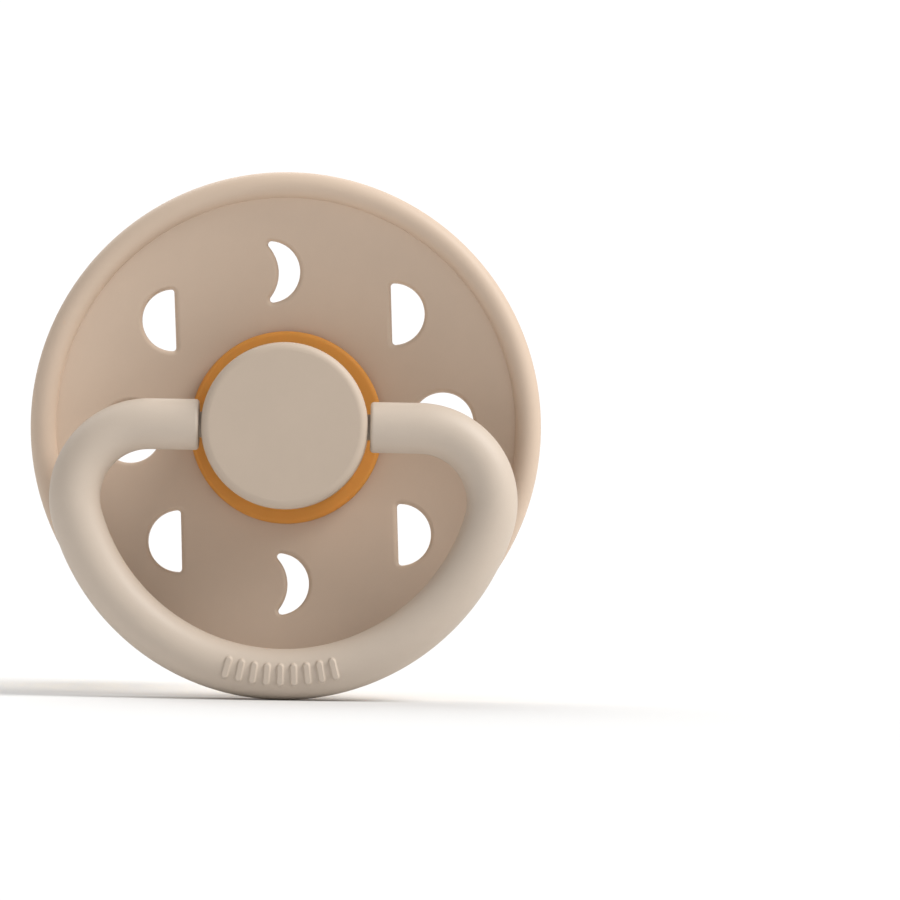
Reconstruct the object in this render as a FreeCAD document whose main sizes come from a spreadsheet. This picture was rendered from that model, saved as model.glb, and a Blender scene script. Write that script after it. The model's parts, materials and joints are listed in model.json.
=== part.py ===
import FreeCAD, Part
import math
import os

import Sketcher

# A soother: a round shield, a hollow latex nipple held in it by a stopper and a button, and a ring handle
# which swings on the button.
#
# Frame: the nipple's axis is Y, the nipple points along +Y and the button along -Y. Y is 0 in the plane of
# the shield's widest line. The handle hangs along -Z and swings about a line parallel to X.

# Driving dimensions, in millimetres and degrees.
SIZES = {
    "shield_diameter": 44.0,
    "dome_radius": 59.4,
    "dome_height": 5.8,
    "plate_thickness": 2.0,
    "bead_width": 2.2,
    "shoulder_width": 1.5,
    "hole_diameter": 9.8,
    "vent_ring_diameter": 27.1,
    "vent_diameter": 5.34,
    "half_vent_flat": 0.2,
    "crescent_cut_radius": 3.4,
    "crescent_cut_shift": 2.6,
    "vent_corner_radius": 0.3,
    "vent_edge_round": 0.4,
    "shield_rest_turn": 2.6,
    "teat_length": 25.0,
    "bulb_diameter": 15.4,
    "bulb_below_tip": 7.9,
    "bulb_lower_radius": 10.5,
    "tip_radius": 3.85,
    "shoulder_slope": 32.0,
    "waist_inset": 0.3,
    "waist_below_tip": 17.6,
    "base_overhang": 0.5,
    "latex_wall": 1.05,
    "flange_diameter": 16.7,
    "flange_thickness": 1.5,
    "shield_gap": 0.08,
    "hole_gap": 0.1,
    "stopper_rise": 3.0,
    "stopper_round": 0.9,
    "stem_step": 0.55,
    "stem_length": 3.2,
    "barb_height": 0.25,
    "barb_width": 1.2,
    "snap_gap": 0.05,
    "core_diameter": 3.0,
    "core_wall": 1.2,
    "button_diameter": 14.2,
    "button_height": 9.6,
    "button_edge": 0.7,
    "rod_diameter": 4.34,
    "handle_setback": 0.23,
    "handle_width": 39.94,
    "corner_radius": 6.3,
    "handle_drop": 21.17,
    "arm_gap": 0.2,
    "arm_chamfer": 0.25,
    "pin_diameter": 2.2,
    "pin_length": 1.8,
    "pin_clearance": 0.05,
    "pin_chamfer": 0.2,
    "rib_count": 9,
    "rib_pitch": 3.6,
    "rib_width": 0.55,
    "rib_length": 1.9,
    "rib_height": 0.15,
}

FULL_TURN = 360.0
HALF_ROUND = "half round"
TOUCH = 1e-4

document = FreeCAD.newDocument("Soother")
sheet = document.addObject("Spreadsheet::Sheet", "Sizes")
for row, (alias, size) in enumerate(SIZES.items(), start=1):
    sheet.set(f"A{row}", alias)
    sheet.set(f"B{row}", str(size))
    sheet.setAlias(f"B{row}", alias)
document.recompute()

# Levels along Y and shared radii, as formulas of the sheet's cells.
SHIELD_RADIUS = "Sizes.shield_diameter / 2"
HOLE_RADIUS = "Sizes.hole_diameter / 2"
DOME_CENTRE = "(Sizes.dome_height - Sizes.dome_radius)"
DISH_RADIUS = "(Sizes.dome_radius - Sizes.plate_thickness)"


def sphere_level(radius, distance):
    """Level of a sphere about the dome's centre, at a distance from the Y axis."""
    return f"({DOME_CENTRE} + sqrt(({radius}) ^ 2 - ({distance}) ^ 2))"


MOUTH_SURFACE = sphere_level("Sizes.dome_radius", HOLE_RADIUS)
TEAT_TOP = f"({MOUTH_SURFACE} + Sizes.teat_length)"
THROAT_RADIUS = f"({HOLE_RADIUS} - Sizes.hole_gap)"
BASE_RADIUS = f"({HOLE_RADIUS} + Sizes.base_overhang)"
BASE_ROUND = f"({BASE_RADIUS} - {THROAT_RADIUS})"
BASE_LEVEL = f"({MOUTH_SURFACE} + Sizes.shield_gap + {BASE_ROUND})"
FLANGE_FRONT_RADIUS = f"({DISH_RADIUS} - Sizes.shield_gap)"
FLANGE_FRONT = sphere_level(FLANGE_FRONT_RADIUS, THROAT_RADIUS)
FLANGE_BACK = f"({FLANGE_FRONT} - Sizes.flange_thickness)"
BUTTON_FACE = f"({FLANGE_BACK} - Sizes.button_height)"
HINGE_LEVEL = f"({BUTTON_FACE} + Sizes.handle_setback + Sizes.rod_diameter / 2)"
HEAD_RADIUS = f"({BASE_RADIUS} - Sizes.latex_wall)"
HEAD_UNDER = f"({BASE_LEVEL} - Sizes.latex_wall / 2)"
STEM_NECK_RADIUS = f"({THROAT_RADIUS} - Sizes.latex_wall)"
STEM_RADIUS = f"({STEM_NECK_RADIUS} - Sizes.stem_step)"
STEM_END = f"({FLANGE_BACK} - Sizes.stem_length)"
ARM_START = "(Sizes.button_diameter / 2 + Sizes.arm_gap)"


def amount(formula):
    """Value of a formula of the sheet's cells."""
    return float(sheet.evalExpression(formula))


def new_body(label):
    body = document.addObject("PartDesign::Body", label)
    body.Label = label
    return body


def new_sketch(body, role, name, offset="0"):
    """Sketch on one of the body's own origin planes, moved along the plane's normal by a formula."""
    plane = next(item for item in body.Origin.OriginFeatures if item.Role == role)
    sketch = body.newObject("Sketcher::SketchObject", name)
    sketch.AttachmentSupport = [(plane, "")]
    sketch.MapMode = "FlatFace"
    if offset != "0":
        sketch.setExpression("AttachmentOffset.Base.z", offset)
    document.recompute()
    return sketch


def bind(sketch, constraint, formula):
    """Add a constraint whose size is a formula of the sheet's cells."""
    index = sketch.addConstraint(constraint)
    name = f"size_{index}"
    sketch.renameConstraint(index, name)
    sketch.setExpression(f"Constraints.{name}", formula)


def place_point(sketch, geometry, vertex, x, y):
    """Hold a point of the sketch at a place given by two formulas."""
    if x == "0":
        sketch.addConstraint(Sketcher.Constraint("PointOnObject", geometry, vertex, -2))
    else:
        bind(sketch, Sketcher.Constraint("DistanceX", -1, 1, geometry, vertex, amount(x)), x)
    if y == "0":
        sketch.addConstraint(Sketcher.Constraint("PointOnObject", geometry, vertex, -1))
    else:
        bind(sketch, Sketcher.Constraint("DistanceY", -1, 1, geometry, vertex, amount(y)), y)


def arc_between(start, end, radius, side):
    """Arc under half a turn from start to end, with its centre to the left (1) or right (-1) of the chord."""
    chord = end - start
    middle = (start + end) / 2
    rise = math.sqrt(max(radius ** 2 - (chord.Length / 2) ** 2, 0.0))
    left = FreeCAD.Vector(-chord.y, chord.x, 0).normalize()
    centre = middle + left * (rise * side)
    first, last = (start, end) if side > 0 else (end, start)
    angles = [math.atan2(point.y - centre.y, point.x - centre.x) for point in (first, last)]
    circle = Part.Circle(centre, FreeCAD.Vector(0, 0, 1), radius)
    return Part.ArcOfCircle(circle, angles[0], angles[1])


def draw(sketch, corners, arcs, closed=True):
    """Draw an outline through corners, each a pair of formulas.

    arcs maps a corner's number to the arc that leaves it: its radius as a formula, or HALF_ROUND, and 1 for
    a centre to the left of the way or -1 for one to the right. Every other stretch is straight.
    """
    places = [FreeCAD.Vector(amount(x), amount(y), 0) for x, y in corners]
    count = len(corners) if closed else len(corners) - 1
    ends = []
    for number in range(count):
        start = places[number]
        end = places[(number + 1) % len(places)]
        if number in arcs:
            radius, side = arcs[number]
            length = (end - start).Length / 2 if radius == HALF_ROUND else amount(radius)
            geometry = sketch.addGeometry(arc_between(start, end, length, side))
            ends.append((geometry, 1, 2) if side > 0 else (geometry, 2, 1))
        else:
            geometry = sketch.addGeometry(Part.LineSegment(start, end))
            ends.append((geometry, 1, 2))
    for number in range(count):
        geometry, _, last = ends[number]
        if closed or number < count - 1:
            following, first, _ = ends[(number + 1) % count]
            sketch.addConstraint(Sketcher.Constraint("Coincident", geometry, last, following, first))
    for number, (x, y) in enumerate(corners):
        geometry, vertex, _ = ends[number] if number < count else (ends[-1][0], ends[-1][2], None)
        place_point(sketch, geometry, vertex, x, y)
    for number, (radius, _) in arcs.items():
        geometry = ends[number][0]
        if radius == HALF_ROUND:
            sketch.addConstraint(Sketcher.Constraint("Symmetric", geometry, 1, geometry, 2, geometry, 3))
        else:
            bind(sketch, Sketcher.Constraint("Radius", geometry, amount(radius)), radius)
    document.recompute()


def draw_circle(sketch, x, y, radius):
    centre = FreeCAD.Vector(amount(x), amount(y), 0)
    circle = Part.Circle(centre, FreeCAD.Vector(0, 0, 1), amount(radius))
    geometry = sketch.addGeometry(circle)
    place_point(sketch, geometry, 3, x, y)
    bind(sketch, Sketcher.Constraint("Radius", geometry, amount(radius)), radius)
    document.recompute()


def turn(body, kind, sketch, name):
    """Revolution or Groove of a sketch about the Y axis."""
    feature = body.newObject(f"PartDesign::{kind}", name)
    feature.Profile = sketch
    feature.ReferenceAxis = (sketch, ["V_Axis"])
    feature.Angle = FULL_TURN
    body.Tip = feature
    document.recompute()
    return feature


def dress(body, kind, base, size, formula, test, name):
    """Fillet or Chamfer on the edges of base that pass a test."""
    edges = [f"Edge{number}" for number, edge in enumerate(base.Shape.Edges, start=1) if test(edge)]
    feature = body.newObject(f"PartDesign::{kind}", name)
    feature.Base = (base, edges)
    feature.setExpression(size, formula)
    body.Tip = feature
    document.recompute()
    return feature


def need_cut(before, feature):
    """Stop if a cut removed nothing."""
    if feature.Shape.Volume > before - TOUCH:
        raise RuntimeError(f"{feature.Name} cuts nothing")


def shield_profile(body):
    """Half section of the plate, its shoulder and the bead rolled round its rim."""
    bead = "Sizes.bead_width"
    bead_inside = f"({SHIELD_RADIUS} - {bead})"
    shoulder = f"({SHIELD_RADIUS} - Sizes.shoulder_width)"
    shoulder_level = sphere_level("Sizes.dome_radius", shoulder)
    shoulder_arc = f"(Sizes.shoulder_width ^ 2 + {shoulder_level} ^ 2) / (2 * Sizes.shoulder_width)"
    corners = [
        (HOLE_RADIUS, sphere_level(DISH_RADIUS, HOLE_RADIUS)),
        (bead_inside, sphere_level(DISH_RADIUS, bead_inside)),
        (bead_inside, "0"),
        (SHIELD_RADIUS, "0"),
        (shoulder, shoulder_level),
        (HOLE_RADIUS, MOUTH_SURFACE),
    ]
    arcs = {
        0: (DISH_RADIUS, -1),
        2: (HALF_ROUND, 1),
        3: (shoulder_arc, 1),
        4: ("Sizes.dome_radius", 1),
    }
    sketch = new_sketch(body, "XY_Plane", "shield_section")
    draw(sketch, corners, arcs)
    return sketch


def ring_place(angle):
    """Formulas of the point of the vent ring at an angle from X."""
    return (
        f"(Sizes.vent_ring_diameter / 2 * cos({angle}deg))",
        f"(Sizes.vent_ring_diameter / 2 * sin({angle}deg))",
    )


def draw_half_vent(sketch, angle, side):
    """Half disc with its round side to the right (1) or to the left (-1)."""
    x, y = ring_place(angle)
    flat = f"({x} - {side} * Sizes.half_vent_flat)"
    reach = "sqrt((Sizes.vent_diameter / 2) ^ 2 - Sizes.half_vent_flat ^ 2)"
    low = (flat, f"({y} - {reach})")
    outer = (f"({x} + {side} * Sizes.vent_diameter / 2)", y)
    high = (flat, f"({y} + {reach})")
    radius = "Sizes.vent_diameter / 2"
    draw(sketch, [low, outer, high], {0: (radius, side), 1: (radius, side)})


def draw_crescent(sketch, angle):
    """Crescent with its round side to the right, centred from side to side on the shield's upright line."""
    _, y = ring_place(angle)
    outer_radius = "Sizes.vent_diameter / 2"
    cut_radius = "Sizes.crescent_cut_radius"
    shift = "Sizes.crescent_cut_shift"
    tip = f"(({cut_radius} ^ 2 - ({outer_radius}) ^ 2 - {shift} ^ 2) / (2 * {shift}))"
    reach = f"sqrt(({outer_radius}) ^ 2 - {tip} ^ 2)"
    middle = f"(-({outer_radius} + {tip}) / 2)"
    low = (f"({middle} + {tip})", f"({y} - {reach})")
    outer = (f"({middle} + {outer_radius})", y)
    high = (f"({middle} + {tip})", f"({y} + {reach})")
    arcs = {0: (outer_radius, 1), 1: (outer_radius, 1), 2: (cut_radius, -1)}
    draw(sketch, [low, outer, high], arcs)


def is_circle_at(edge, x, radius):
    """True for a round edge about the hinge's line, at a place along X, either side."""
    if edge.Curve.TypeId != "Part::GeomCircle":
        return False
    return abs(abs(edge.Curve.Center.x) - x) < TOUCH and abs(edge.Curve.Radius - radius) < TOUCH


def is_along_axis(edge):
    """True for a straight edge parallel to Y."""
    ends = [vertex.Point for vertex in edge.Vertexes]
    if len(ends) < 2:
        return False
    along = ends[1] - ends[0]
    return abs(along.x) < TOUCH and abs(along.z) < TOUCH and edge.Curve.TypeId == "Part::GeomLine"


def cut_vents(body, name, draw_outlines):
    """Pocket through the plate, of the outlines which a function draws in a sketch below the bead."""
    before = body.Shape.Volume
    outlines = new_sketch(body, "XZ_Plane", f"{name}_outlines", "Sizes.bead_width")
    draw_outlines(outlines)
    cut = body.newObject("PartDesign::Pocket", name)
    cut.Profile = outlines
    cut.Type = "ThroughAll"
    document.recompute()
    need_cut(before, cut)
    body.Tip = cut
    return cut


def draw_cornered_vents(sketch):
    for angle in (45, 315):
        draw_half_vent(sketch, angle, 1)
    for angle in (135, 225):
        draw_half_vent(sketch, angle, -1)
    for angle in (90, 270):
        draw_crescent(sketch, angle)


def draw_round_vents(sketch):
    for side in ("", "-"):
        draw_circle(sketch, f"({side}Sizes.vent_ring_diameter / 2)", "0", "Sizes.vent_diameter / 2")


def is_vent_rim(edge):
    """True for the edges where a vent meets one of the plate's two faces."""
    away = math.hypot(edge.CenterOfMass.x, edge.CenterOfMass.z)
    near_ring = abs(away - amount("Sizes.vent_ring_diameter / 2")) < amount("Sizes.vent_diameter / 2")
    return near_ring and not is_along_axis(edge)


def make_shield():
    """Domed plate with a rolled rim, a hole for the nipple and a ring of eight vents."""
    body = new_body("shield")
    turn(body, "Revolution", shield_profile(body), "plate")
    cornered = cut_vents(body, "cornered_vents", draw_cornered_vents)
    dress(body, "Fillet", cornered, "Radius", "Sizes.vent_corner_radius", is_along_axis, "vent_corners")
    vented = cut_vents(body, "round_vents", draw_round_vents)
    dress(body, "Fillet", vented, "Radius", "Sizes.vent_edge_round", is_vent_rim, "vent_rims")
    turned = FreeCAD.Rotation(FreeCAD.Vector(0, -1, 0), amount("Sizes.shield_rest_turn"))
    body.Placement = FreeCAD.Placement(FreeCAD.Vector(), turned)
    return body


def teat_outline(body, name, inset):
    """Half section of the teat above its base, set in by a wall.

    From the top it is a round tip, a conical shoulder, the bulb's upper and lower arcs, an arc into the
    waist and a slight flare down to the base, each tangent to the next.
    """
    bulb = f"(Sizes.bulb_diameter / 2 - {inset})"
    tip = f"(Sizes.tip_radius - {inset})"
    lower = f"(Sizes.bulb_lower_radius - {inset})"
    base = f"({BASE_RADIUS} - {inset})"
    waist = f"({base} - Sizes.waist_inset)"
    top_level = f"({TEAT_TOP} - {inset})"
    bulb_level = f"({TEAT_TOP} - Sizes.bulb_below_tip)"
    waist_level = f"({TEAT_TOP} - Sizes.waist_below_tip)"
    across = "sin(Sizes.shoulder_slope * 1deg)"
    along = "cos(Sizes.shoulder_slope * 1deg)"
    cap = f"({top_level} - {bulb_level})"
    upper_centre = f"(({bulb} - {cap} * {along} - {tip} * (1 - {along})) / (1 - {across}))"
    upper = f"({bulb} - {upper_centre})"
    narrowing = f"({bulb} - {waist})"
    drop = f"({bulb_level} - {waist_level})"
    sum_of_arcs = f"(({narrowing} ^ 2 + {drop} ^ 2) / (2 * {narrowing}))"
    share = f"({lower} / {sum_of_arcs})"
    flare = "Sizes.waist_inset"
    neck_drop = f"({waist_level} - {BASE_LEVEL})"
    corners = [
        ("0", top_level),
        ("0", BASE_LEVEL),
        (base, BASE_LEVEL),
        (waist, waist_level),
        (f"({bulb} - {narrowing} * {share})", f"({bulb_level} - {drop} * {share})"),
        (bulb, bulb_level),
        (f"({upper_centre} + {upper} * {across})", f"({bulb_level} + {upper} * {along})"),
        (f"({tip} * {across})", f"({top_level} - {tip} * (1 - {along}))"),
    ]
    arcs = {
        2: (f"({neck_drop} ^ 2 + {flare} ^ 2) / (2 * {flare})", -1),
        3: (f"({sum_of_arcs} - {lower})", -1),
        4: (lower, 1),
        5: (upper, 1),
        7: (tip, 1),
    }
    sketch = new_sketch(body, "XY_Plane", name)
    draw(sketch, corners, arcs)
    return sketch


def make_nipple():
    """Hollow teat, its throat through the shield's hole, and the flange behind the shield."""
    body = new_body("nipple")
    teat = turn(body, "Revolution", teat_outline(body, "teat_section", "0"), "teat")
    cavity = turn(body, "Groove", teat_outline(body, "cavity_section", "Sizes.latex_wall"), "cavity")
    need_cut(teat.Shape.Volume, cavity)
    flange_radius = "(Sizes.flange_diameter / 2)"
    corners = [
        (STEM_NECK_RADIUS, FLANGE_BACK),
        (flange_radius, FLANGE_BACK),
        (flange_radius, sphere_level(FLANGE_FRONT_RADIUS, flange_radius)),
        (THROAT_RADIUS, FLANGE_FRONT),
        (THROAT_RADIUS, f"({BASE_LEVEL} - {BASE_ROUND})"),
        (BASE_RADIUS, BASE_LEVEL),
        (HEAD_RADIUS, BASE_LEVEL),
        (HEAD_RADIUS, HEAD_UNDER),
        (STEM_NECK_RADIUS, HEAD_UNDER),
    ]
    arcs = {2: (FLANGE_FRONT_RADIUS, 1), 4: (BASE_ROUND, 1)}
    sketch = new_sketch(body, "XY_Plane", "flange_section")
    draw(sketch, corners, arcs)
    turn(body, "Revolution", sketch, "flange")
    return body


def make_stopper():
    """Plug in the teat's neck: a head above the shield, and a hollow stem which snaps into the button."""
    body = new_body("stopper")
    top = f"({MOUTH_SURFACE} + Sizes.stopper_rise)"
    rounding = "Sizes.stopper_round"
    barb_radius = f"({STEM_RADIUS} + Sizes.barb_height)"
    barb_top = f"({STEM_END} + Sizes.barb_width)"
    core = "(Sizes.core_diameter / 2)"
    core_top = f"({top} - Sizes.core_wall)"
    corners = [
        ("0", top),
        ("0", core_top),
        (core, core_top),
        (core, STEM_END),
        (STEM_RADIUS, STEM_END),
        (barb_radius, f"({barb_top} - Sizes.barb_height)"),
        (STEM_RADIUS, barb_top),
        (STEM_RADIUS, FLANGE_BACK),
        (STEM_NECK_RADIUS, FLANGE_BACK),
        (STEM_NECK_RADIUS, HEAD_UNDER),
        (HEAD_RADIUS, HEAD_UNDER),
        (HEAD_RADIUS, f"({top} - {rounding})"),
        (f"({HEAD_RADIUS} - {rounding})", top),
    ]
    sketch = new_sketch(body, "XY_Plane", "stopper_section")
    draw(sketch, corners, {11: (rounding, 1)})
    turn(body, "Revolution", sketch, "plug")
    return body


def make_button():
    """Knob with a socket for the stopper's stem and one on each flank for the handle's pins."""
    body = new_body("button")
    radius = "(Sizes.button_diameter / 2)"
    edge = "Sizes.button_edge"
    socket = f"({STEM_RADIUS} + Sizes.snap_gap)"
    floor = f"({STEM_END} - Sizes.snap_gap)"
    barb_top = f"({STEM_END} + Sizes.barb_width + Sizes.snap_gap)"
    groove = f"({socket} + Sizes.barb_height)"
    corners = [
        ("0", floor),
        ("0", BUTTON_FACE),
        (f"({radius} - {edge})", BUTTON_FACE),
        (radius, f"({BUTTON_FACE} + {edge})"),
        (radius, FLANGE_BACK),
        (socket, FLANGE_BACK),
        (socket, barb_top),
        (groove, f"({barb_top} - Sizes.barb_height)"),
        (groove, floor),
    ]
    sketch = new_sketch(body, "XY_Plane", "button_section")
    draw(sketch, corners, {2: (edge, 1)})
    turn(body, "Revolution", sketch, "knob")
    depth = f"({ARM_START} - Sizes.pin_length - Sizes.arm_gap)"
    for name, sign in (("right", ""), ("left", "-")):
        before = body.Shape.Volume
        mouth = new_sketch(body, "YZ_Plane", f"{name}_socket_mouth", f"{sign}{depth}")
        draw_circle(mouth, HINGE_LEVEL, "0", "Sizes.pin_diameter / 2 + Sizes.pin_clearance")
        cut = body.newObject("PartDesign::Pocket", f"{name}_socket")
        cut.Profile = mouth
        cut.Reversed = name == "right"
        cut.setExpression("Length", "Sizes.button_diameter / 2")
        document.recompute()
        need_cut(before, cut)
        body.Tip = cut
    return body


def handle_path(body):
    """Centreline of the ring: two arms on the hinge's line, two corners and the loop's long arc.

    The long arc reaches handle_drop below the hinge's line, and its radius is the one that meets both
    corners in a tangent.
    """
    side = "(Sizes.handle_width / 2 - Sizes.rod_diameter / 2 - Sizes.corner_radius)"
    corner = "Sizes.corner_radius"
    below = f"(Sizes.handle_drop - {corner})"
    loop = f"(({side} ^ 2 + {below} ^ 2 - {corner} ^ 2) / (2 * ({below} - {corner})))"
    centre = f"({loop} - Sizes.handle_drop)"
    reach = f"({loop} / ({loop} - {corner}))"
    join_x = f"({side} * {reach})"
    join_z = f"({centre} - ({corner} + {centre}) * {reach})"
    corners = [
        (f"(-{ARM_START})", "0"),
        (f"(-{side})", "0"),
        (f"(-{join_x})", join_z),
        ("0", "(-Sizes.handle_drop)"),
        (join_x, join_z),
        (side, "0"),
        (ARM_START, "0"),
    ]
    arcs = {1: (corner, 1), 2: (loop, 1), 3: (loop, 1), 4: (corner, 1)}
    sketch = new_sketch(body, "XZ_Plane", "handle_path", f"(-{HINGE_LEVEL})")
    draw(sketch, corners, arcs, closed=False)
    return sketch, centre


def add_grip_ribs(body, loop_centre):
    """Short ribs across the bottom of the ring, standing proud on its front and its back."""
    right = "(Sizes.rib_width / 2)"
    left = "(-Sizes.rib_width / 2)"
    middle = f"(-Sizes.handle_drop - {loop_centre})"
    inner = f"({middle} + Sizes.rib_length / 2 - {right})"
    outer = f"({middle} - Sizes.rib_length / 2 + {right})"
    sketch = new_sketch(body, "XZ_Plane", "rib_outline", f"(-{HINGE_LEVEL})")
    sketch.setExpression("AttachmentOffset.Base.y", loop_centre)
    sketch.setExpression("AttachmentOffset.Rotation.Angle", "-(Sizes.rib_count - 1) * Sizes.rib_pitch / 2")
    corners = [(left, outer), (right, outer), (right, inner), (left, inner)]
    draw(sketch, corners, {0: (HALF_ROUND, 1), 2: (HALF_ROUND, 1)})
    rib = body.newObject("PartDesign::Pad", "first_rib")
    rib.Profile = sketch
    rib.SideType = "Symmetric"
    rib.setExpression("Length", "Sizes.rod_diameter + 2 * Sizes.rib_height")
    document.recompute()
    ribs = body.newObject("PartDesign::PolarPattern", "ribs")
    ribs.Originals = [rib]
    ribs.Axis = (sketch, ["N_Axis"])
    ribs.setExpression("Angle", "(Sizes.rib_count - 1) * Sizes.rib_pitch")
    ribs.setExpression("Occurrences", "Sizes.rib_count")
    body.Tip = ribs
    document.recompute()


def make_handle():
    """Ring of round rod with flat arm ends, a hinge pin on each and a row of grip ribs at its bottom."""
    body = new_body("handle")
    path, loop_centre = handle_path(body)
    section = new_sketch(body, "YZ_Plane", "rod_section", f"(-{ARM_START})")
    draw_circle(section, HINGE_LEVEL, "0", "Sizes.rod_diameter / 2")
    rod = body.newObject("PartDesign::AdditivePipe", "rod")
    rod.Profile = section
    rod.Spine = (path, [])
    document.recompute()
    for name, sign in (("right", ""), ("left", "-")):
        root = new_sketch(body, "YZ_Plane", f"{name}_pin_root", f"{sign}{ARM_START}")
        draw_circle(root, HINGE_LEVEL, "0", "Sizes.pin_diameter / 2")
        pin = body.newObject("PartDesign::Pad", f"{name}_pin")
        pin.Profile = root
        pin.Reversed = name == "right"
        pin.setExpression("Length", "Sizes.pin_length")
        document.recompute()
    arm_end = amount(ARM_START)
    pin_end = amount(f"{ARM_START} - Sizes.pin_length")
    rod_radius = amount("Sizes.rod_diameter / 2")
    pin_radius = amount("Sizes.pin_diameter / 2")
    eased = dress(body, "Chamfer", pin, "Size", "Sizes.arm_chamfer",
                  lambda edge: is_circle_at(edge, arm_end, rod_radius), "arm_chamfers")
    dress(body, "Chamfer", eased, "Size", "Sizes.pin_chamfer",
          lambda edge: is_circle_at(edge, pin_end, pin_radius), "pin_chamfers")
    add_grip_ribs(body, loop_centre)
    return body


shield = make_shield()
nipple = make_nipple()
stopper = make_stopper()
button = make_button()
handle = make_handle()
pieces = [shield, nipple, stopper, button, handle]
document.recompute()

for item in document.Objects:
    if "Invalid" in item.State or "Error" in item.State:
        raise RuntimeError(f"{item.Label} did not build: {item.State}")
for piece in pieces:
    if piece.Shape.isNull() or not piece.Shape.isValid():
        raise RuntimeError(f"{piece.Label} is not a sound solid")

os.makedirs("parts", exist_ok=True)
for piece in pieces:
    piece.Shape.exportStep(f"parts/{piece.Label}.step")
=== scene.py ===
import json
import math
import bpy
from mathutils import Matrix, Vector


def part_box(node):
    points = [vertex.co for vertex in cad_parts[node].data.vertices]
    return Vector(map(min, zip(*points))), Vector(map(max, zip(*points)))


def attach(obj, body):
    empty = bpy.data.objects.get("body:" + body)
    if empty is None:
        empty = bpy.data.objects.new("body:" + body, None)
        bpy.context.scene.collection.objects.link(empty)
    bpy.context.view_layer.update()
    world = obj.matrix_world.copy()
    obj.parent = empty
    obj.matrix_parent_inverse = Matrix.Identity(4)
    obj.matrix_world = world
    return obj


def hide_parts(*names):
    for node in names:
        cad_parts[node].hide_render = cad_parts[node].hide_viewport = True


bl_info = {
    "name": "Ring soother",
    "version": (1, 0, 0),
    "blender": (4, 5, 0),
    "location": "3D View > Sidebar > Soother",
    "description": "Round-shield soother with a latex teat, a button and a ring handle",
    "category": "Add Mesh",
}

import bmesh
import bpy
from mathutils import Quaternion, Vector, noise

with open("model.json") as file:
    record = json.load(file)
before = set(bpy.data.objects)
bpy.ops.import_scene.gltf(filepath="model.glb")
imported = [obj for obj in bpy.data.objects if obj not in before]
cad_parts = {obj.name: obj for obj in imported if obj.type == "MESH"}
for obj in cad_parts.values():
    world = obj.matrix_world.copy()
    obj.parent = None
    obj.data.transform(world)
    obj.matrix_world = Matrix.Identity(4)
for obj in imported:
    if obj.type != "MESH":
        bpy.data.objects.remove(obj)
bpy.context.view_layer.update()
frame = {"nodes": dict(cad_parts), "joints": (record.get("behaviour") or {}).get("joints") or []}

MM = 0.001
NIPPLE_LOW, NIPPLE_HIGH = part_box("nipple")
STOPPER_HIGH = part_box("stopper")[1]
HANDLE_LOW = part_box("handle")[0]
HINGE = next(joint for joint in frame["joints"] if joint["name"] == "handle_swing")
HINGE_LEVEL = HINGE["pos_m"][1]


# Properties.


def length(name, description, default):
    """Property for a length in metres."""
    return bpy.props.FloatProperty(
        name=name, description=description, default=default, precision=5, unit="LENGTH", subtype="DISTANCE"
    )


def angle(name, description, degrees):
    """Property for an angle, given in degrees."""
    return bpy.props.FloatProperty(
        name=name, description=description, default=math.radians(degrees), unit="ROTATION", subtype="ANGLE"
    )


def tint(name, description, default):
    """Property for a linear colour."""
    return bpy.props.FloatVectorProperty(
        name=name, description=description, default=default, size=3, min=0.0, max=1.0, subtype="COLOR"
    )


def amount(name, description, default):
    """Property for a plain number."""
    return bpy.props.FloatProperty(name=name, description=description, default=default, min=0.0)


class SootherTeatSizes(bpy.types.PropertyGroup):
    """Sizes of the hollow latex teat."""

    tip_level: length("Tip level", "Height of the tip above the shield's widest line", NIPPLE_HIGH.y)
    tip: length("Tip radius", "Radius of the rounded tip", 3.85 * MM)
    slope: angle("Shoulder slope", "Slope of the cone between the tip and the bulb", 32.0)
    bulb: length("Bulb radius", "Largest radius of the bulb", 7.7 * MM)
    bulb_below_tip: length("Bulb below tip", "Distance from the tip to the bulb's widest line", 7.9 * MM)
    bulb_lower: length("Lower bulb arc", "Radius of the arc below the bulb's widest line", 10.5 * MM)
    waist_inset: length("Waist inset", "How much slimmer the waist is than the base", 0.3 * MM)
    waist_below_tip: length("Waist below tip", "Distance from the tip to the waist", 17.6 * MM)
    base: length("Base radius", "Radius of the neck where it stands on the shield", 5.4 * MM)
    base_level: length("Base level", "Level of the base's widest line", 6.2776 * MM)
    throat: length("Throat radius", "Radius of the neck inside the shield's hole", 4.8 * MM)
    wall: length("Latex wall", "Thickness of the latex", 1.05 * MM)
    flange: length("Flange radius", "Radius of the ring behind the shield", NIPPLE_HIGH.x)
    flange_back: length("Flange back", "Level of the ring's face against the button", NIPPLE_LOW.y)
    flange_sphere: length("Flange sphere", "Radius of the sphere that the ring's front follows", 57.32 * MM)
    sphere_centre: length("Sphere centre", "Level of that sphere's centre", -53.6 * MM)
    flange_round: length("Flange round", "Round of the ring's outer edges", 0.4 * MM)
    stopper_gap: length("Stopper gap", "Gap between the latex and the stopper", 0.03 * MM)
    stopper_ease: length("Stopper ease", "Length over which the inside widens round the stopper", 1.6 * MM)
    thick_below: length("Thick below", "Distance below the base where the thick latex begins", 0.35 * MM)
    waviness: length("Waviness", "Depth of the slow waves of dipped latex", 0.05 * MM)
    wave_length: length("Wave length", "Size of the slow waves", 6.0 * MM)
    ripple_length: length("Ripple length", "Size of the smaller waves between them", 2.5 * MM)
    wave_fade: length("Wave fade", "Height above the base over which the waves grow", 8.0 * MM)


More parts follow.
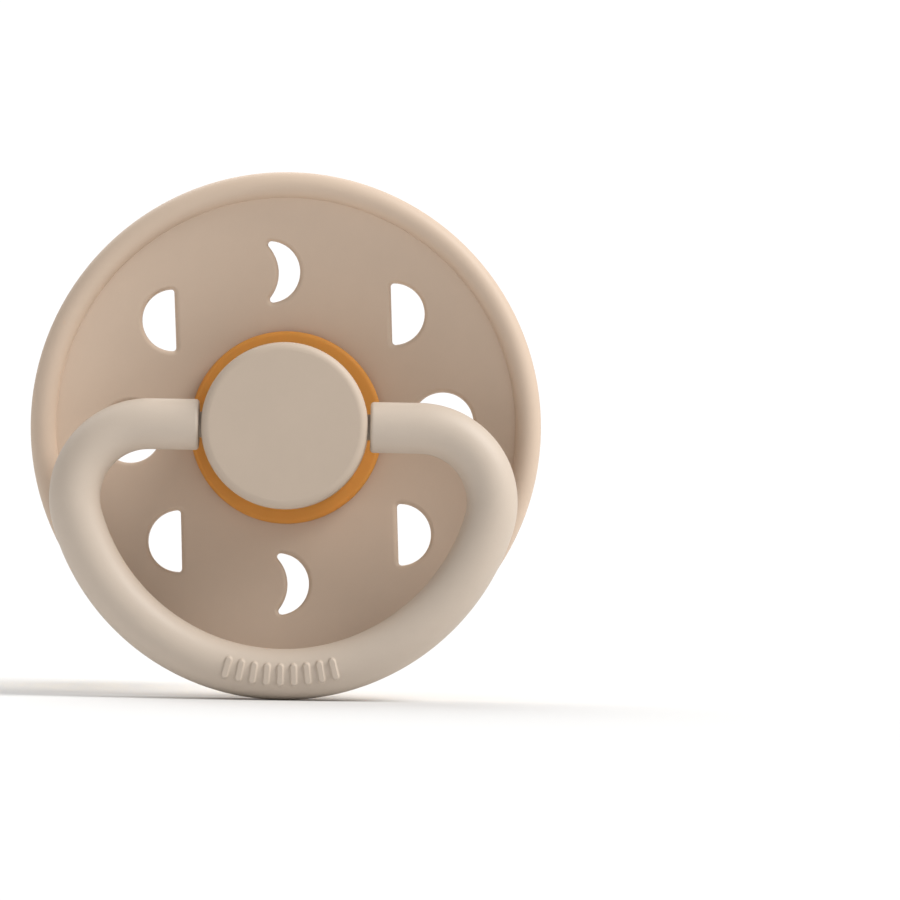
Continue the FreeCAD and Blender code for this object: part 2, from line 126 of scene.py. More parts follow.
class SootherHandleSizes(bpy.types.PropertyGroup):
    """Sizes of the ring handle."""

    rod: length("Rod radius", "Radius of the ring's round rod", 2.17 * MM)
    arm_start: length("Arm end", "Distance of the arms' flat ends from the middle", 7.3 * MM)
    arm_round: length("Arm end round", "Round at the arms' flat ends", 0.3 * MM)
    corner: length("Corner radius", "Bend radius of the two upper corners", 6.3 * MM)
    corner_out: length("Corner distance", "Distance of the corners' centres from the middle", 11.5 * MM)
    loop: length("Loop radius", "Bend radius of the long lower arc", 18.3 * MM)
    pin: length("Pin radius", "Radius of the hinge pins", 1.1 * MM)
    pin_length: length("Pin length", "Length of the hinge pins", 1.8 * MM)
    pin_round: length("Pin round", "Round at the pins' tips", 0.2 * MM)
    rib_count: bpy.props.IntProperty(name="Ribs", description="Grip ribs on each face", default=9, min=0)
    rib_pitch: angle("Rib pitch", "Angle between neighbouring ribs", 3.6)
    rib_width: length("Rib width", "Width of a rib along the rod", 0.55 * MM)
    rib_length: length("Rib length", "Length of a rib across the rod", 1.9 * MM)
    rib_height: length("Rib height", "Height of a rib over the rod", 0.15 * MM)
    rib_softness: length("Rib softness", "Width of the soft edge round a rib", 0.14 * MM)


class SootherFinishes(bpy.types.PropertyGroup):
    """Colours and surfaces of the materials."""

    shield: tint("Shield", "Plastic of the shield", (0.625, 0.49, 0.38))
    handle: tint("Handle", "Plastic of the handle", (0.585, 0.495, 0.41))
    button: tint("Button", "Plastic of the button", (0.545, 0.445, 0.355))
    stopper: tint("Stopper", "Plastic of the stopper", (0.56, 0.40, 0.27))
    latex: tint("Latex", "Natural latex of the thin teat", (0.995, 0.935, 0.81))
    latex_ring: tint("Latex ring", "Natural latex of the thick ring and throat", (0.99, 0.475, 0.11))
    latex_depth: tint("Latex depth", "Colour of light that has passed the latex", (0.99, 0.825, 0.45))
    latex_distance: length("Latex distance", "Way in the latex that gives that colour", 2.1 * MM)
    latex_index: amount("Latex index", "Refractive index of the cloudy latex", 1.18)
    thin_clearness: amount("Thin clearness", "Share of light that enters the thin latex", 0.88)
    thick_clearness: amount("Thick clearness", "Share of light that enters the thick latex", 0.42)
    shield_roughness: amount("Shield roughness", "Roughness of the shield's plastic", 0.52)
    trim_roughness: amount("Trim roughness", "Roughness of the button's and the handle's plastic", 0.5)
    stopper_roughness: amount("Stopper roughness", "Roughness of the stopper's plastic", 0.45)
    unevenness: amount("Unevenness", "How far the plastic's lightness wanders", 0.08)
    grain: length("Grain", "Size of the plastic's fine grain", 0.12 * MM)
    grain_height: length("Grain height", "Height of the plastic's fine grain", 0.004 * MM)
    shield_parting: amount("Shield parting", "Height of the shield's parting line, in grain heights", 2.0)
    handle_parting: amount("Handle parting", "Height of the handle's parting line, in grain heights", 3.0)
    floor: tint("Floor", "Plain pale floor", (0.75, 0.75, 0.75))


class SootherStageSizes(bpy.types.PropertyGroup):
    """Floor, lights and camera."""

    floor_half: length("Floor half width", "Half the width of the floor", 3.0)
    key_power: amount("Key power", "Strength of the broad soft light from the right", 2.95)
    key_side: angle("Key side", "Angle of that light from the front towards the right", 72.0)
    key_up: angle("Key height", "Angle of that light above the floor", 45.0)
    key_spread: angle("Key spread", "Width of that light, which sets how soft the shadows are", 38.0)
    back_power: amount("Back power", "Strength of the softer light from behind", 1.4)
    back_side: angle("Back side", "Angle of that light from the front towards the right", 205.0)
    back_up: angle("Back height", "Angle of that light above the floor", 48.0)
    back_spread: angle("Back spread", "Width of that light", 60.0)
    key_colour: tint("Key colour", "Colour of the light from the right", (1.0, 0.99, 0.975))
    room: amount("Room light", "Strength of the even light all round", 0.42)
    backdrop: amount("Backdrop", "Brightness of the backdrop behind the object", 1.05)
    distance: length("Camera distance", "Distance of the camera from the shield", 460 * MM)
    side: angle("Camera side", "Angle of the view from the right", 1.14)
    below: angle("Camera below", "Angle of the view from below", 0.95)
    object_side: angle("Object side", "Angle of the object left of the camera's axis", 1.762)
    object_up: angle("Object up", "Angle of the object above the camera's axis", 0.247)
    roll: angle("Camera roll", "Roll of the camera", 1.0)
    lens: bpy.props.FloatProperty(name="Lens", description="Focal length in millimetres", default=213.3)


# Mesh helpers.

# Distances at which places count as one, or as on the axis.
SAME_POINT = 1e-6
MERGE_DISTANCE = 1e-7
ON_AXIS = 1e-7
# Spacing of the points along straight runs, and of the one next to each end.
EDGE_LOOP = 0.06 * MM
COARSE_STEP = 0.5 * MM
SIDE_STEP = 0.4 * MM
ARM_STEP = 0.35 * MM
PIN_STEP = 0.3 * MM
FINE_STEP = 0.2 * MM


def eased(share):
    """Smooth step of a share, held between 0 and 1."""
    share = min(1.0, max(0.0, share))
    return share * share * (3 - 2 * share)


def arc(centre, radius, start, end, steps):
    """Points of an arc in the (radius, level) plane, angles in degrees."""
    points = []
    for step in range(steps + 1):
        turn = math.radians(start + (end - start) * step / steps)
        points.append(Vector((centre[0] + radius * math.cos(turn), centre[1] + radius * math.sin(turn))))
    return points


def straight(start, end, spacing):
    """Evenly spaced points of a straight run, with one close to each end to keep the shading flat."""
    start, end = Vector(start), Vector(end)
    run = (end - start).length
    count = max(1, round(run / spacing))
    shares = [step / count for step in range(count + 1)]
    close = min(EDGE_LOOP / run, 0.2)
    shares = sorted(shares + [close, 1 - close])
    return [start.lerp(end, share) for share in shares]


def joined(*runs):
    """One outline from runs that follow each other, without doubled points."""
    outline = []
    for run in runs:
        for point in run:
            if not outline or (Vector(point) - outline[-1]).length > SAME_POINT:
                outline.append(Vector(point))
    return outline


def finish_mesh(build, name, sharp):
    """Object from a bmesh, with normals outward and creases at corners over an angle in degrees."""
    bmesh.ops.remove_doubles(build, verts=build.verts, dist=MERGE_DISTANCE)
    bmesh.ops.recalc_face_normals(build, faces=build.faces)
    mesh = bpy.data.meshes.new(name)
    build.to_mesh(mesh)
    build.free()
    mesh.shade_smooth()
    mesh.set_sharp_from_angle(angle=math.radians(sharp))
    piece = bpy.data.objects.new(name, mesh)
    bpy.context.scene.collection.objects.link(piece)
    return piece


def bridge(build, rings):
    """Quads between rings of equal length. A ring of one vertex closes as a fan."""
    for first, second in zip(rings, rings[1:]):
        count = max(len(first), len(second))
        for here in range(count):
            there = (here + 1) % count
            corners = []
            for ring, place in ((first, here), (first, there), (second, there), (second, here)):
                vertex = ring[place % len(ring)]
                if vertex not in corners:
                    corners.append(vertex)
            build.faces.new(corners)


def lathe(outline, segments, uneven=None):
    """Rings round the Y axis for an outline of (radius, level) points, each point moved by uneven."""
    build = bmesh.new()
    rings = []
    for radius, level in outline:
        if radius < ON_AXIS:
            rings.append([build.verts.new((0, level, 0))])
            continue
        ring = []
        for segment in range(segments):
            turn = math.tau * segment / segments
            place = Vector((radius * math.cos(turn), level, radius * math.sin(turn)))
            if uneven:
                place = uneven(place)
            ring.append(build.verts.new(place))
        rings.append(ring)
    bridge(build, rings)
    return build


def set_material(piece, material):
    """One material on the piece's own slots."""
    if not piece.material_slots:
        piece.data.materials.append(material)
    for slot in piece.material_slots:
        slot.material = material


# Shader helpers.

SLOW_CLOUD = 9.0 * MM
SMALL_CLOUD = 1.1 * MM
SMALL_CLOUD_SHARE = 0.35
GRAIN_SHARE = 0.45
SMALL_CLOUD_HEIGHT = 0.6
# Lightness added along the parting line: a painted highlight.
PARTING_PAINTED_HIGHLIGHT = 0.05
ROUGHNESS_WANDER = 0.12
LATEX_CLOUD = 3.5 * MM
LATEX_GRAIN = 0.35 * MM
LATEX_GRAIN_HEIGHT = 0.006 * MM
LATEX_SHADE_LEAST, LATEX_SHADE_SPAN = 0.95, 0.10
LATEX_BLUR_LEAST, LATEX_BLUR_SPAN = 0.40, 0.14
# Levels on the Y axis between which the latex goes from its thick to its thin colour.
THICK_LEVEL = 5.4 * MM
THIN_LEVEL = 8.6 * MM


def new_group(name, inputs, outputs):
    """Shader node group with typed sockets, and its input and output nodes."""
    group = bpy.data.node_groups.new(name, "ShaderNodeTree")
    kinds = {"value": "NodeSocketFloat", "colour": "NodeSocketColor"}
    for label, kind, default in inputs:
        socket = group.interface.new_socket(name=label, in_out="INPUT", socket_type=kinds[kind])
        socket.default_value = default
    for label, kind in outputs:
        group.interface.new_socket(name=label, in_out="OUTPUT", socket_type=kinds[kind])
    return group, group.nodes.new("NodeGroupInput"), group.nodes.new("NodeGroupOutput")


def add(tree, kind, **settings):
    """New node with its settings."""
    node = tree.nodes.new(kind)
    for key, value in settings.items():
        setattr(node, key, value)
    return node


def math_node(tree, operation, first, second=None, third=None):
    """Math node, each input a number or a socket."""
    node = add(tree, "ShaderNodeMath", operation=operation)
    for socket, value in zip(node.inputs, (first, second, third)):
        if value is None:
            continue
        if isinstance(value, (int, float)):
            socket.default_value = value
        else:
            tree.links.new(value, socket)
    return node.outputs[0]


def moulded_group():
    """Fine grain, slow unevenness and a mould's parting line, with a painted highlight along it, for a
    plastic surface.
    """
    name = "Moulded surface"
    if name in bpy.data.node_groups:
        return bpy.data.node_groups[name]
    group, given, out = new_group(
        name,
        [
            ("Colour", "colour", (0.6, 0.5, 0.4, 1.0)),
            ("Roughness", "value", 0.5),
            ("Grain Size", "value", 0.12 * MM),
            ("Unevenness", "value", 0.04),
            ("Parting Level", "value", 0.0),
            ("Parting Width", "value", 0.12 * MM),
            ("Parting Height", "value", 0.0),
        ],
        [("Colour", "colour"), ("Roughness", "value"), ("Height", "value")],
    )
    links = group.links
    place = add(group, "ShaderNodeTexCoord")
    fine_scale = math_node(group, "DIVIDE", 1.0, given.outputs["Grain Size"])
    fine = add(group, "ShaderNodeTexNoise", noise_dimensions="3D")
    fine.inputs["Detail"].default_value = 3.0
    fine.inputs["Roughness"].default_value = 0.6
    links.new(place.outputs["Object"], fine.inputs["Vector"])
    links.new(fine_scale, fine.inputs["Scale"])
    slow = add(group, "ShaderNodeTexNoise", noise_dimensions="3D")
    slow.inputs["Scale"].default_value = 1 / SLOW_CLOUD
    slow.inputs["Detail"].default_value = 2.0
    links.new(place.outputs["Object"], slow.inputs["Vector"])
    cloud = add(group, "ShaderNodeTexNoise", noise_dimensions="3D")
    cloud.inputs["Scale"].default_value = 1 / SMALL_CLOUD
    cloud.inputs["Detail"].default_value = 2.0
    links.new(place.outputs["Object"], cloud.inputs["Vector"])
    split = add(group, "ShaderNodeSeparateXYZ")
    links.new(place.outputs["Object"], split.inputs[0])
    away = math_node(group, "SUBTRACT", split.outputs["Y"], given.outputs["Parting Level"])
    away = math_node(group, "DIVIDE", math_node(group, "ABSOLUTE", away), given.outputs["Parting Width"])
    line = add(group, "ShaderNodeMapRange", interpolation_type="SMOOTHERSTEP")
    line.inputs["From Min"].default_value = 0.0
    line.inputs["From Max"].default_value = 1.0
    line.inputs["To Min"].default_value = 1.0
    line.inputs["To Max"].default_value = 0.0
    links.new(away, line.inputs["Value"])
    ridge = math_node(group, "MULTIPLY", line.outputs["Result"], given.outputs["Parting Height"])
    # Lightness wanders slowly over the piece and a little from grain to grain; a painted highlight lightens
    # the parting line.
    wander = math_node(group, "SUBTRACT", slow.outputs["Fac"], 0.5)
    speckle = math_node(group, "SUBTRACT", cloud.outputs["Fac"], 0.5)
    speckle = math_node(group, "MULTIPLY", speckle, SMALL_CLOUD_SHARE)
    grainy = math_node(group, "SUBTRACT", fine.outputs["Fac"], 0.5)
    grainy = math_node(group, "MULTIPLY", grainy, GRAIN_SHARE)
    together = math_node(group, "ADD", math_node(group, "ADD", wander, speckle), grainy)
    change = math_node(group, "MULTIPLY_ADD", together, given.outputs["Unevenness"], 1.0)
    # Painted highlight: the parting line is drawn lighter wherever it has a ridge.
    raised = math_node(group, "GREATER_THAN", given.outputs["Parting Height"], 0.0)
    painted_highlight = math_node(group, "MULTIPLY", line.outputs["Result"], raised)
    painted_highlight = math_node(group, "MULTIPLY", painted_highlight, PARTING_PAINTED_HIGHLIGHT)
    change = math_node(group, "ADD", change, painted_highlight)
    shade = add(group, "ShaderNodeVectorMath", operation="SCALE")
    links.new(given.outputs["Colour"], shade.inputs[0])
    links.new(change, shade.inputs["Scale"])
    links.new(shade.outputs[0], out.inputs["Colour"])
    uneven = math_node(group, "MULTIPLY_ADD", together, ROUGHNESS_WANDER, given.outputs["Roughness"])
    links.new(uneven, out.inputs["Roughness"])
    grain = math_node(group, "MULTIPLY_ADD", cloud.outputs["Fac"], SMALL_CLOUD_HEIGHT, fine.outputs["Fac"])
    links.new(math_node(group, "ADD", grain, ridge), out.inputs["Height"])
    return group


def moulded_plastic(name, colour, roughness, parting_level=0.0, parting_height=0.0):
    """Satin moulded plastic with a fine grain, and a parting line at a level on the Y axis, lightened by a
    painted highlight.
    """
    finish = bpy.context.scene.soother_finishes
    material = bpy.data.materials.new(name)
    material.use_nodes = True
    material.diffuse_color = (*colour, 1.0)
    tree = material.node_tree
    surface = tree.nodes["Principled BSDF"]
    surface.inputs["IOR"].default_value = 1.46
    surface.inputs["Specular IOR Level"].default_value = 0.42
    moulded = add(tree, "ShaderNodeGroup", node_tree=moulded_group())
    moulded.inputs["Colour"].default_value = (*colour, 1.0)
    moulded.inputs["Roughness"].default_value = roughness
    moulded.inputs["Grain Size"].default_value = finish.grain
    moulded.inputs["Unevenness"].default_value = finish.unevenness
    moulded.inputs["Parting Level"].default_value = parting_level
    moulded.inputs["Parting Height"].default_value = parting_height
    bump = add(tree, "ShaderNodeBump")
    bump.inputs["Strength"].default_value = 1.0
    bump.inputs["Distance"].default_value = finish.grain_height
    tree.links.new(moulded.outputs["Colour"], surface.inputs["Base Color"])
    tree.links.new(moulded.outputs["Roughness"], surface.inputs["Roughness"])
    tree.links.new(moulded.outputs["Height"], bump.inputs["Height"])
    tree.links.new(bump.outputs["Normal"], surface.inputs["Normal"])
    return material


def dipped_latex(name, clearness):
    """Cloudy amber latex: light passes through, blurred, and takes on colour with the way it goes."""
    finish = bpy.context.scene.soother_finishes
    material = bpy.data.materials.new(name)
    material.use_nodes = True
    material.diffuse_color = (*finish.latex, 1.0)
    tree = material.node_tree
    surface = tree.nodes["Principled BSDF"]
    surface.inputs["Transmission Weight"].default_value = clearness
    surface.inputs["IOR"].default_value = finish.latex_index
    place = add(tree, "ShaderNodeTexCoord")
    cloud = add(tree, "ShaderNodeTexNoise")
    cloud.inputs["Scale"].default_value = 1 / LATEX_CLOUD
    cloud.inputs["Detail"].default_value = 3.0
    tree.links.new(place.outputs["Object"], cloud.inputs["Vector"])
    fine = add(tree, "ShaderNodeTexNoise")
    fine.inputs["Scale"].default_value = 1 / LATEX_GRAIN
    fine.inputs["Detail"].default_value = 2.0
    tree.links.new(place.outputs["Object"], fine.inputs["Vector"])
    # The latex is deeper in colour where it is thick, round the teat's base and below it.
    split = add(tree, "ShaderNodeSeparateXYZ")
    tree.links.new(place.outputs["Object"], split.inputs[0])
    thin = add(tree, "ShaderNodeMapRange", interpolation_type="SMOOTHSTEP")
    thin.inputs["From Min"].default_value = THICK_LEVEL
    thin.inputs["From Max"].default_value = THIN_LEVEL
    tree.links.new(split.outputs["Y"], thin.inputs["Value"])
    blend = add(tree, "ShaderNodeMix", data_type="RGBA")
    blend.inputs["A"].default_value = (*finish.latex_ring, 1.0)
    blend.inputs["B"].default_value = (*finish.latex, 1.0)
    tree.links.new(thin.outputs["Result"], blend.inputs["Factor"])
    change = math_node(tree, "MULTIPLY_ADD", cloud.outputs["Fac"], LATEX_SHADE_SPAN, LATEX_SHADE_LEAST)
    shade = add(tree, "ShaderNodeVectorMath", operation="SCALE")
    tree.links.new(blend.outputs["Result"], shade.inputs[0])
    tree.links.new(change, shade.inputs["Scale"])
    tree.links.new(shade.outputs[0], surface.inputs["Base Color"])
    blur = math_node(tree, "MULTIPLY_ADD", cloud.outputs["Fac"], LATEX_BLUR_SPAN, LATEX_BLUR_LEAST)
    tree.links.new(blur, surface.inputs["Roughness"])
    bump = add(tree, "ShaderNodeBump")
    bump.inputs["Strength"].default_value = 0.6
    bump.inputs["Distance"].default_value = LATEX_GRAIN_HEIGHT
    tree.links.new(fine.outputs["Fac"], bump.inputs["Height"])
    tree.links.new(bump.outputs["Normal"], surface.inputs["Normal"])
    depth = add(tree, "ShaderNodeVolumeAbsorption")
    # A channel loses density * (1 - colour) per metre, so these give latex_depth after latex_distance.
    losses = [-math.log(channel) for channel in finish.latex_depth]
    most = max(losses)
    depth.inputs["Color"].default_value = (*[1 - loss / most for loss in losses], 1.0)
    depth.inputs["Density"].default_value = most / finish.latex_distance
    tree.links.new(depth.outputs["Volume"], tree.nodes["Material Output"].inputs["Volume"])
    return material


# Teat.

TEAT_SEGMENTS = 192
SIDE_ARC_STEPS = 24
FACE_STEPS = 12
ROUND_STEPS = 8
RIPPLE_SHARE = 0.4


def teat_side(sizes, inset):
    """Outline of the teat's side from the base up to the tip, set in by the inset."""
    top = sizes.tip_level - inset
    tip = sizes.tip - inset
    bulb = sizes.bulb - inset
    lower = sizes.bulb_lower - inset
    base = sizes.base - inset
    waist = base - sizes.waist_inset
    bulb_level = sizes.tip_level - sizes.bulb_below_tip
    waist_level = sizes.tip_level - sizes.waist_below_tip
    # The upper bulb's arc and the nose's arc both touch the cone between them.
    across, along = math.sin(sizes.slope), math.cos(sizes.slope)
    cap = top - bulb_level
    upper_centre = (bulb - cap * along - tip * (1 - along)) / (1 - across)
    upper = bulb - upper_centre
    # The lower bulb's arc touches the hollow arc into the waist: both is the distance of their centres.
    narrowing, drop = bulb - waist, bulb_level - waist_level
    both = (narrowing**2 + drop**2) / (2 * narrowing)
    hollow = both - lower
    meet = math.degrees(math.atan2(drop, bulb - lower - waist - hollow))
    # The neck flares from the waist down to the base.
    neck_drop = waist_level - sizes.base_level
    flare = (neck_drop**2 + sizes.waist_inset**2) / (2 * sizes.waist_inset)
    spread = math.degrees(math.asin(neck_drop / flare))
    slope = 90 - math.degrees(sizes.slope)
    steps = SIDE_ARC_STEPS
    neck = arc((waist + flare, waist_level), flare, 180 + spread, 180, steps)
    into_bulb = arc((waist + hollow, waist_level), hollow, 180, meet, steps)
    lower_bulb = arc((bulb - lower, bulb_level), lower, meet - 180, 0, steps)
    upper_bulb = arc((upper_centre, bulb_level), upper, 0, slope, steps)
    nose = arc((0, top - tip), tip, slope, 90, steps)
    cone = straight(upper_bulb[-1], nose[0], SIDE_STEP)
    return joined(neck, into_bulb, lower_bulb, upper_bulb, cone, nose)


def teat_outline(sizes):
    """Closed half section: outer side, throat, the ring behind the shield and the inner side."""
    outer = teat_side(sizes, 0.0)
    clear = STOPPER_HIGH.x + sizes.stopper_gap
    inner = []
    for radius, level in teat_side(sizes, sizes.wall):
        near = eased((STOPPER_HIGH.y + sizes.stopper_ease - level) / sizes.stopper_ease)
        inner.append(Vector((radius + max(0.0, clear - radius) * near, level)))
    rounding = sizes.flange_round
    flat_edge = sizes.flange - rounding
    front_face = []
    for step in range(FACE_STEPS + 1):
        radius = sizes.throat + (flat_edge - sizes.throat) * step / FACE_STEPS
        level = sizes.sphere_centre + math.sqrt(sizes.flange_sphere**2 - radius**2)
        front_face.append(Vector((radius, level)))
    # The front face slopes a little at its edge, so the round starts off its top and is lifted to meet it.
    face_angle = 87
    lift = 0.012 * MM
    front_edge = sizes.sphere_centre + math.sqrt(sizes.flange_sphere**2 - sizes.flange**2)
    front_start, back_start = front_edge - rounding, sizes.flange_back + rounding
    base_round = sizes.base - sizes.throat
    stem_side = sizes.throat - sizes.wall + sizes.stopper_gap
    head_under = sizes.base_level - sizes.wall / 2 - sizes.stopper_gap
    return joined(
        reversed(outer),
        arc((sizes.throat, sizes.base_level), base_round, 0, -90, FACE_STEPS),
        straight((sizes.throat, sizes.base_level - base_round), front_face[0], SIDE_STEP),
        front_face,
        arc((flat_edge, front_start + lift), rounding, face_angle, 0, ROUND_STEPS),
        straight((sizes.flange, front_start), (sizes.flange, back_start), FINE_STEP),
        arc((flat_edge, back_start), rounding, 0, -90, ROUND_STEPS),
        straight((flat_edge, sizes.flange_back), (stem_side, sizes.flange_back), COARSE_STEP),
        straight((stem_side, sizes.flange_back), (stem_side, head_under), COARSE_STEP),
        [(clear, head_under)],
        inner,
    )


class SOOTHER_OT_teat(bpy.types.Operator):
    """Hollow dipped latex teat with its throat and ring"""

    bl_idname = "soother.teat"
    bl_label = "Teat"

    def execute(self, context):
        sizes = context.scene.soother_teat

        def wavy(place):
            """Slow waves of dipped latex, fading out towards the base."""
            share = min(1.0, max(0.0, (place.y - sizes.base_level) / sizes.wave_fade))
            away = Vector((place.x, 0, place.z)).normalized()
            wave = noise.noise(place / sizes.wave_length)
            wave += RIPPLE_SHARE * noise.noise(place / sizes.ripple_length)
            return place + away * wave * sizes.waviness * share

        finish = context.scene.soother_finishes
        build = lathe(teat_outline(sizes), TEAT_SEGMENTS, wavy)
        teat = finish_mesh(build, "teat", sharp=40)
        teat.data.materials.append(dipped_latex("Thin latex", finish.thin_clearness))
        teat.data.materials.append(dipped_latex("Thick latex", finish.thick_clearness))
        for face in teat.data.polygons:
            face.material_index = int(face.center.y < sizes.base_level - sizes.thick_below)
        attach(teat, "core")
        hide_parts("nipple")
        return {"FINISHED"}


# Shield, stopper and button keep their shapes from the frame.


class SOOTHER_OT_shield(bpy.types.Operator):
    """Round shield with its eight vents, in satin plastic"""

    bl_idname = "soother.shield"
    bl_label = "Shield"

    def execute(self, context):
        finish = context.scene.soother_finishes
        plastic = moulded_plastic(
            "Shield plastic", finish.shield, finish.shield_roughness, parting_height=finish.shield_parting
        )
        set_material(frame["nodes"]["shield"], plastic)
        return {"FINISHED"}


class SOOTHER_OT_stopper(bpy.types.Operator):
    """Stopper in the teat's neck, in plain plastic"""

    bl_idname = "soother.stopper"
    bl_label = "Stopper"

    def execute(self, context):
        finish = context.scene.soother_finishes
        plastic = moulded_plastic("Stopper plastic", finish.stopper, finish.stopper_roughness)
        set_material(frame["nodes"]["stopper"], plastic)
        return {"FINISHED"}


class SOOTHER_OT_button(bpy.types.Operator):
    """Button which covers the stopper's stem and carries the handle"""

    bl_idname = "soother.button"
    bl_label = "Button"

    def execute(self, context):
        finish = context.scene.soother_finishes
        plastic = moulded_plastic("Button plastic", finish.button, finish.trim_roughness)
        set_material(frame["nodes"]["button"], plastic)
        return {"FINISHED"}


# Handle.

CORNER_STEPS = 40
LOOP_STEPS = 70
RIBBED_STEPS = 110
PIN_ROUND_STEPS = 5
# Degrees to each side of the rod's front and back over which the fine turns stand.
RIBBED_FACE = 32
FINE_TURNS = 36
COARSE_TURNS = 14


def handle_stations(sizes):
    """Stations along the ring, each a centre in (x, z), the outward direction and the radius there."""
    loop_centre = Vector((0, HANDLE_LOW.z + sizes.rod + sizes.loop))
    corner_centre = Vector((sizes.corner_out, -sizes.corner))
    meet = math.degrees(math.atan2(corner_centre.y - loop_centre.y, corner_centre.x - loop_centre.x))
    half = []
    up = Vector((0, 1))
    pin_tip = sizes.arm_start - sizes.pin_length
    pin_flat = sizes.pin - sizes.pin_round
    arm_flat = sizes.rod - sizes.arm_round
    arm_side = sizes.arm_start + sizes.arm_round
    profile = joined(
        straight((0.0, pin_tip), (pin_flat, pin_tip), PIN_STEP),
        arc((pin_flat, pin_tip + sizes.pin_round), sizes.pin_round, -90, 0, PIN_ROUND_STEPS),
        straight((sizes.pin, pin_tip + sizes.pin_round), (sizes.pin, sizes.arm_start), PIN_STEP),
        straight((sizes.pin, sizes.arm_start), (arm_flat, sizes.arm_start), FINE_STEP),
        arc((arm_flat, arm_side), sizes.arm_round, -90, 0, ROUND_STEPS),
    )
    for radius, out in profile:
        half.append((Vector((out, 0)), up, radius))
    arm = straight((arm_side, 0), (sizes.corner_out, 0), ARM_STEP)
    half += [(point, up, sizes.rod) for point in arm[1:]]
    for point in arc(corner_centre, sizes.corner, 90, meet, CORNER_STEPS)[1:]:
        half.append((point, (point - corner_centre).normalized(), sizes.rod))
    rib_zone = math.degrees((sizes.rib_count + 1) / 2 * sizes.rib_pitch)
    for point in arc(loop_centre, sizes.loop, meet, -90 + rib_zone, LOOP_STEPS)[1:]:
        half.append((point, (point - loop_centre).normalized(), sizes.rod))
    for point in arc(loop_centre, sizes.loop, -90 + rib_zone, -90, RIBBED_STEPS)[1:]:
        half.append((point, (point - loop_centre).normalized(), sizes.rod))
    mirrored = [
        (Vector((-centre.x, centre.y)), Vector((-out.x, out.y)), radius)
        for centre, out, radius in reversed(half[:-1])
    ]
    return half + mirrored, loop_centre


def rod_turns():
    """Angles round the rod, closer together on the front and the back where the ribs stand."""
    turns = []
    plain = 90 - RIBBED_FACE
    for face in (90, 270):
        turns += [face - 90 + step * plain / COARSE_TURNS for step in range(COARSE_TURNS)]
        turns += [face - RIBBED_FACE + step * 2 * RIBBED_FACE / FINE_TURNS for step in range(FINE_TURNS)]
        turns += [face + RIBBED_FACE + step * plain / COARSE_TURNS for step in range(COARSE_TURNS)]
    return [math.radians(turn) for turn in turns]


def rib_share(sizes, along, across):
    """How much of a rib stands at a place, from 0 beside it to 1 on top, with soft edges."""
    middle = (sizes.rib_count - 1) / 2
    number = min(sizes.rib_count - 1, max(0, round(along / sizes.rib_pitch + middle)))
    beside = abs(along - (number - middle) * sizes.rib_pitch) * sizes.loop
    reach = max(0.0, abs(across) - (sizes.rib_length - sizes.rib_width) / 2)
    inside = sizes.rib_width / 2 - math.hypot(beside, reach)
    return eased(inside / sizes.rib_softness + 0.5)


class SOOTHER_OT_handle(bpy.types.Operator):
    """Ring handle with hinge pins and grip ribs"""

    bl_idname = "soother.handle"
    bl_label = "Handle"

    def execute(self, context):
        sizes = context.scene.soother_handle
        stations, loop_centre = handle_stations(sizes)
        turns = rod_turns()
        rib_zone = (sizes.rib_count + 1) / 2 * sizes.rib_pitch
        build = bmesh.new()
        rings = []
        for centre, out, radius in stations:
            if radius < ON_AXIS:
                rings.append([build.verts.new((centre.x, HINGE_LEVEL, centre.y))])
                continue
            along = math.atan2(centre.x, loop_centre.y - centre.y)
            ribbed = abs(along) < rib_zone and centre.y < loop_centre.y
            ring = []
            for turn in turns:
                across, proud = radius * math.cos(turn), radius * math.sin(turn)
                if ribbed:
                    share = rib_share(sizes, along, across)
                    top = math.copysign(sizes.rod + sizes.rib_height, proud)
                    proud += (top - proud) * share
                place = centre + out * across
                ring.append(build.verts.new((place.x, HINGE_LEVEL + proud, place.y)))
            rings.append(ring)
        bridge(build, rings)
        handle = finish_mesh(build, "ring_handle", sharp=50)
        finish = context.scene.soother_finishes
        plastic = moulded_plastic(
            "Handle plastic", finish.handle, finish.trim_roughness, HINGE_LEVEL, finish.handle_parting
        )
        set_material(handle, plastic)
        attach(handle, "handle")
        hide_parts("handle")
        return {"FINISHED"}


# Stage.

WHITE = (1.0, 1.0, 1.0)
FLOOR_CLOUD = 40.0 * MM
FLOOR_SHADE_LEAST, FLOOR_SHADE_SPAN = 0.99, 0.02


def soft_light(name, side, up, spread, power, colour):
    """Broad even light from far away, at an angle to the right of the front and above the floor."""
    data = bpy.data.lights.new(name, "SUN")
    data.angle = spread
    data.energy = power
    data.color = colour
    light = bpy.data.objects.new(name, data)
    towards = Vector((math.sin(side) * math.cos(up), -math.cos(side) * math.cos(up), math.sin(up)))
    light.location = towards
    light.rotation_mode = "QUATERNION"
    light.rotation_quaternion = (-towards).to_track_quat("-Z", "Y")
    bpy.context.scene.collection.objects.link(light)


def floor_material(colour):
    """Pale matte floor with a barely visible unevenness."""
    material = bpy.data.materials.new("Pale floor")
    material.use_nodes = True
    tree = material.node_tree
    surface = tree.nodes["Principled BSDF"]
    surface.inputs["Specular IOR Level"].default_value = 0.2
    surface.inputs["Roughness"].default_value = 0.8
    place = add(tree, "ShaderNodeTexCoord")
    cloud = add(tree, "ShaderNodeTexNoise")
    cloud.inputs["Scale"].default_value = 1 / FLOOR_CLOUD
    tree.links.new(place.outputs["Object"], cloud.inputs["Vector"])
    change = math_node(tree, "MULTIPLY_ADD", cloud.outputs["Fac"], FLOOR_SHADE_SPAN, FLOOR_SHADE_LEAST)
    shade = add(tree, "ShaderNodeVectorMath", operation="SCALE")
    shade.inputs[0].default_value = colour
    tree.links.new(change, shade.inputs["Scale"])
    tree.links.new(shade.outputs[0], surface.inputs["Base Color"])
    return material


